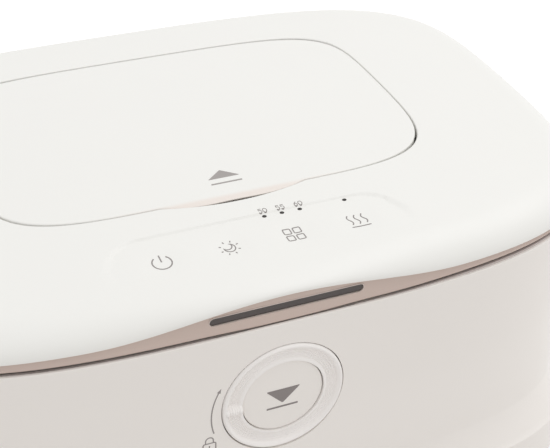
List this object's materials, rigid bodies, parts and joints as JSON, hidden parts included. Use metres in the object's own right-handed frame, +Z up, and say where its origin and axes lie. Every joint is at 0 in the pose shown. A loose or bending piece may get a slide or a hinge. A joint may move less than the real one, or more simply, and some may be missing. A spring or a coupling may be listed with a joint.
{
  "type": "baby wipe warmer",
  "caption": "Rounded tabletop wipe warmer with a heated bin, a hinged domed lid, a dispensing flap over a silicone port, touch keys, a light window, and a push button in a turning lock ring.",
  "frame": {"origin": "on the floor under the middle of the body", "axes": "+X along the body's length to the right seen from the front, -Y out of the front with the dial, +Z up"},
  "size_m": [0.2294, 0.155, 0.1049],
  "materials": {
    "white_plastic": "satin ivory white moulding",
    "taupe_plastic": "satin taupe moulding",
    "inner_plastic": "plain moulded finish",
    "black_plastic": "plain moulded finish",
    "smoked_plastic": "smoked light window",
    "clear_plastic": "clear light guide",
    "silicone": "soft matt silicone",
    "rubber": "matt rubber",
    "steel": "plated steel",
    "aluminium": "bare rolled sheet",
    "felt": "pressed insulating felt",
    "circuit_board": "solder mask on board"
  },
  "bodies": {
    "base": {"base_shell": "white_plastic", "base_plate": "inner_plastic", "base_screw_1": "steel", "base_screw_2": "steel", "base_screw_3": "steel", "base_screw_4": "steel", "foot_front_left": "rubber", "foot_front_right": "rubber", "foot_rear_left": "rubber", "foot_rear_right": "rubber", "wipe_bin": "inner_plastic", "heater_plate": "aluminium", "insulation_pad": "felt", "thermostat": "black_plastic", "power_board": "circuit_board", "power_inlet": "black_plastic", "dial_housing": "inner_plastic", "latch_bracket": "inner_plastic", "latch_pin": "steel", "latch_spring": "steel", "lid_hinge_pin_left": "steel", "lid_hinge_pin_right": "steel"},
    "lid": {"lid_cover": "white_plastic", "lid_frame": "taupe_plastic", "lid_liner": "inner_plastic", "lid_seal": "silicone", "dispensing_tray": "white_plastic", "wipe_port": "silicone", "lid_strike": "steel", "lid_screw_1": "steel", "lid_screw_2": "steel", "lid_screw_3": "steel", "lid_screw_4": "steel", "light_window": "smoked_plastic", "light_board": "circuit_board", "touch_board": "circuit_board", "indicator_light_guide": "clear_plastic"},
    "flap": {"flap_cover": "white_plastic", "flap_inner_plate": "inner_plastic", "flap_seal": "silicone", "flap_hinge_pin_left": "steel", "flap_hinge_pin_right": "steel"},
    "button": {"release_button": "white_plastic"},
    "lock_ring": {"lock_ring": "white_plastic"},
    "latch": {"latch_lever": "steel"}
  },
  "joints": [
    {"name": "lid_hinge", "type": "hinge", "parent": "base", "child": "lid", "pos_m": [0, 0.0697, 0.0777], "axis": [-1, 0, 0], "range_deg": [0, 100]},
    {"name": "flap_hinge", "type": "hinge", "parent": "lid", "child": "flap", "pos_m": [0, 0.036, 0.10232], "axis": [-1, 0, 0], "range_deg": [0, 90]},
    {"name": "button_press", "type": "slide", "parent": "base", "child": "button", "axis": [0, 1, 0], "range_m": [0, 0.0022], "stiffness_N_per_m": 300, "springref_m": -0.001, "deforming": ["latch_spring"]},
    {"name": "lock_ring_turn", "type": "hinge", "parent": "base", "child": "lock_ring", "pos_m": [0, -0.0733, 0.0622], "axis": [0, 1, 0], "range_deg": [0, 40]},
    {"name": "latch_turn", "type": "hinge", "parent": "base", "child": "latch", "pos_m": [0, -0.0626, 0.076], "axis": [1, 0, 0], "range_deg": [0, 10]}
  ],
  "couplings": [
    {"joint": "latch_turn", "follows": "button_press", "rad_per_m": 76}
  ]
}
